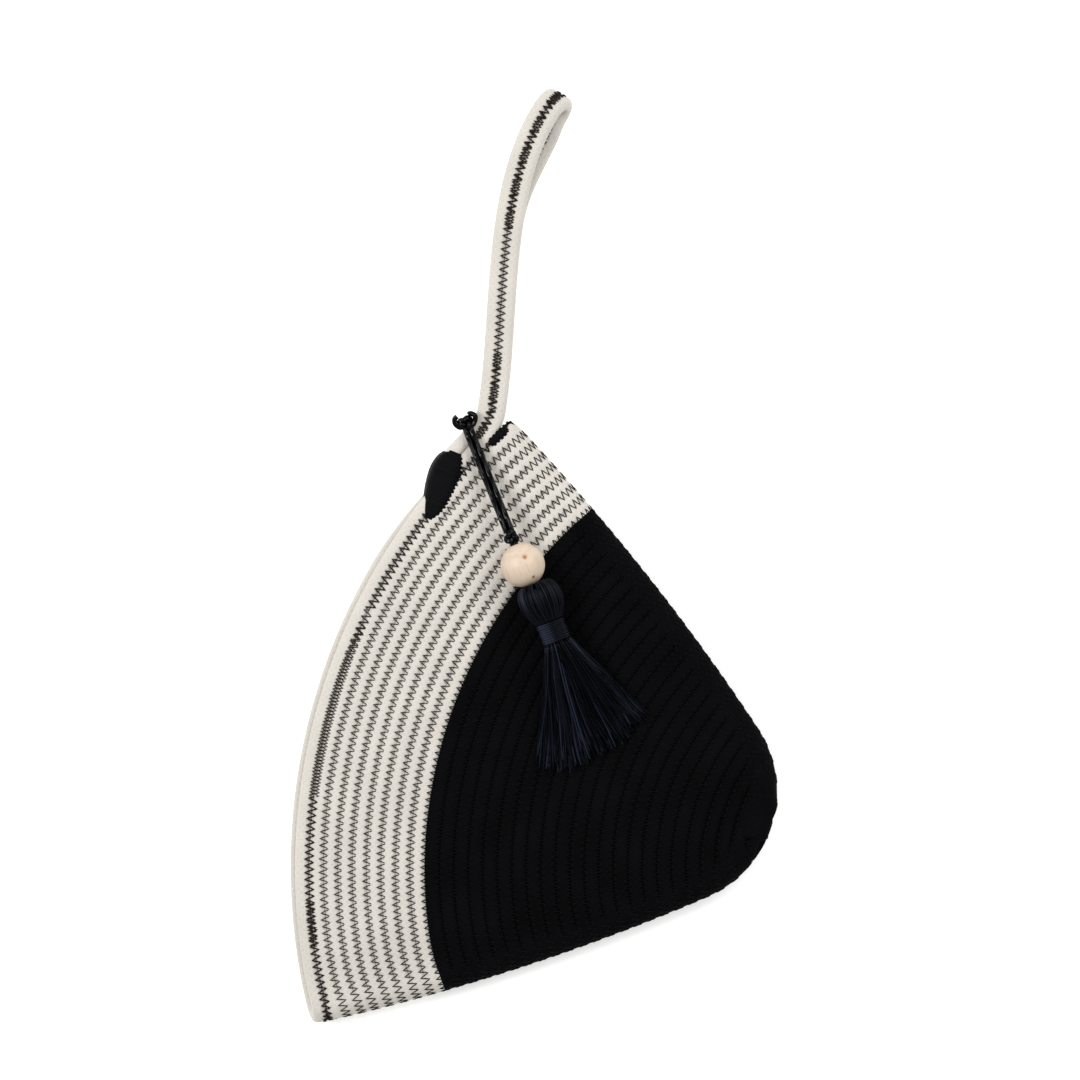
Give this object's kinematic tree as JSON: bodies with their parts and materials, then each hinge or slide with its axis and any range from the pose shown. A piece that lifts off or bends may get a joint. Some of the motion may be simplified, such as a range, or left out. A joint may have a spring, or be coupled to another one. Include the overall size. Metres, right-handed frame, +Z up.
{
  "type": "clutch bag",
  "caption": "Flat triangular clutch of coiled and sewn black and white cotton rope, with a rope wrist strap and a hanging tassel with a wooden bead.",
  "frame": {"origin": "middle of the bag and strap seen from above, on the surface that the bag lies on", "axes": "+Z up out of the bag's front, +Y along the strap, +X from the mouth towards the closed corner"},
  "size_m": [0.2102, 0.4032, 0.0423],
  "materials": {
    "black_rope": "braided cotton rope, matt",
    "white_rope": "braided cotton rope, matt",
    "satin_thread": "satin-stitched thread",
    "waxed_cord": "waxed cotton cord",
    "pale_wood": "sanded, unvarnished",
    "silky_yarn": "silky yarn"
  },
  "bodies": {
    "bag": {"black_coil": "black_rope", "white_coil": "white_rope", "rim_rope": "white_rope", "strap_tail_front": "white_rope", "strap_tail_back": "white_rope", "rim_satin_patch": "satin_thread", "strap_bar_tack": "satin_thread"},
    "wristlet": {"strap_inner_rope": "white_rope", "strap_outer_rope": "white_rope"},
    "tassel_knot": {"tassel_top_knot": "waxed_cord", "knot_tail_left": "waxed_cord", "knot_tail_right": "waxed_cord"},
    "tassel_cord": {"tassel_cord_left": "waxed_cord", "tassel_cord_right": "waxed_cord", "tassel_lower_knot": "waxed_cord", "tassel_hanger": "waxed_cord"},
    "bead": {"wooden_bead": "pale_wood"},
    "tassel": {"tassel_head": "silky_yarn", "tassel_neck_binding": "satin_thread", "tassel_skirt": "silky_yarn"}
  },
  "joints": [
    {"name": "wristlet_lift", "type": "hinge", "parent": "bag", "child": "wristlet", "pos_m": [-0.01802, 0.06297, 0.0174], "axis": [0.9877, -0.1564, 0], "range_deg": [0, 100]},
    {"name": "tassel_swing", "type": "hinge", "parent": "bag", "child": "tassel_knot", "pos_m": [-0.02915, 0.05679, 0.01981], "axis": [0, 0, 1], "range_deg": [-25, 12]},
    {"name": "tassel_lift", "type": "hinge", "parent": "tassel_knot", "child": "tassel_cord", "pos_m": [-0.02915, 0.05679, 0.01981], "axis": [-0.9272, -0.3746, 0], "range_deg": [0, 60]},
    {"name": "bead_spin", "type": "hinge", "parent": "tassel_cord", "child": "bead", "pos_m": [-0.00458, -0.00404, 0.0328], "axis": [0.3746, -0.9272, 0], "continuous": true},
    {"name": "tassel_sway", "type": "hinge", "parent": "tassel_cord", "child": "tassel", "pos_m": [-0.0009, -0.01312, 0.0328], "axis": [0, 0, 1], "range_deg": [-25, 25]}
  ]
}
